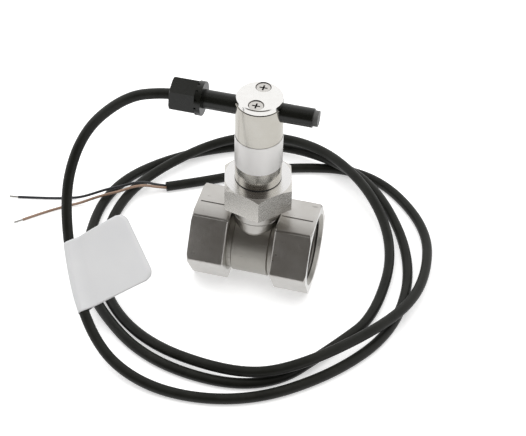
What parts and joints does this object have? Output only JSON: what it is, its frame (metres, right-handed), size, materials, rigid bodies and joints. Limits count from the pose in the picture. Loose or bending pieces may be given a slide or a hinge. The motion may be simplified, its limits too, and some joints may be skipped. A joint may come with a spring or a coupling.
{
  "type": "paddle flow switch",
  "caption": "Paddle flow switch: cast hexagonal pipe tee with screwed ports, hexagonal adapter, round switch housing, clamped cross tube with reed contact, cable gland and loose cable",
  "frame": {"origin": "On the floor face, the lower flats of the tee, straight below the branch axis; the pipe axis is 19 mm above it.", "axes": "+X is the pipe axis and the flow direction, from the inlet port to the outlet port. +Z is the branch axis, up through the housing. +Y points to the back, away from the side with the tee's blank cast pad."},
  "size_m": [0.2121, 0.1734, 0.1052],
  "materials": {
    "cast_stainless": "satin investment-cast stainless steel, fine grain",
    "machined_steel": "turned and milled stainless steel, fine tool marks",
    "nickel_housing": "turned, polished nickel plate",
    "polished_cap": "bright polished nickel plate",
    "screw_steel": "zinc-plated steel",
    "label_foil": "silver-white foil label, blank",
    "seal_rubber": "black nitrile rubber",
    "pivot_brass": "turned brass",
    "paddle_steel": "stamped stainless steel",
    "magnet": "nickel-plated magnet",
    "magnet_cup": "moulded plastic cup",
    "black_plastic": "satin black moulded plastic",
    "plug_plastic": "grey-black moulded plastic",
    "circuit_board": "green glass-epoxy board",
    "reed_glass": "clear glass tube",
    "reed_metal": "plated nickel-iron",
    "cable_jacket": "matt black flexible jacket",
    "core_black": "black core insulation",
    "core_brown": "brown core insulation",
    "tinned_copper": "tinned copper strands",
    "flag_paper": "white blank film flag"
  },
  "bodies": {
    "switch": {"tee_body": "cast_stainless", "branch_o_ring": "seal_rubber", "hex_adapter": "machined_steel", "switch_housing": "nickel_housing", "housing_o_ring": "seal_rubber", "pivot_carrier": "pivot_brass", "pivot_pin": "paddle_steel", "return_magnet": "magnet", "type_label": "label_foil", "clamp_cap": "polished_cap", "cap_screws": "screw_steel"},
    "paddle": {"paddle_lever": "paddle_steel", "paddle_blade": "paddle_steel", "paddle_rivets": "paddle_steel", "magnet_holder": "magnet_cup", "lever_magnet": "magnet"},
    "reed_contact": {"reed_tube": "black_plastic", "tube_end_plug": "plug_plastic", "reed_board": "circuit_board", "reed_capsule": "reed_glass", "reed_contacts": "reed_metal", "gland_body": "black_plastic", "gland_seal": "seal_rubber", "gland_nut": "black_plastic", "cable": "cable_jacket", "core_black": "core_black", "core_brown": "core_brown", "core_tips": "tinned_copper", "cable_flag": "flag_paper"}
  },
  "joints": [
    {"name": "paddle_swing", "type": "hinge", "parent": "switch", "child": "paddle", "pos_m": [0, 0, 0.056], "axis": [0, -1, 0], "range_deg": [0, 18], "stiffness_Nm_per_rad": 0.002, "springref_deg": -11.46},
    {"name": "reed_slide", "type": "slide", "parent": "switch", "child": "reed_contact", "axis": [1, 0, 0], "range_m": [-0.01, 0.01]}
  ]
}
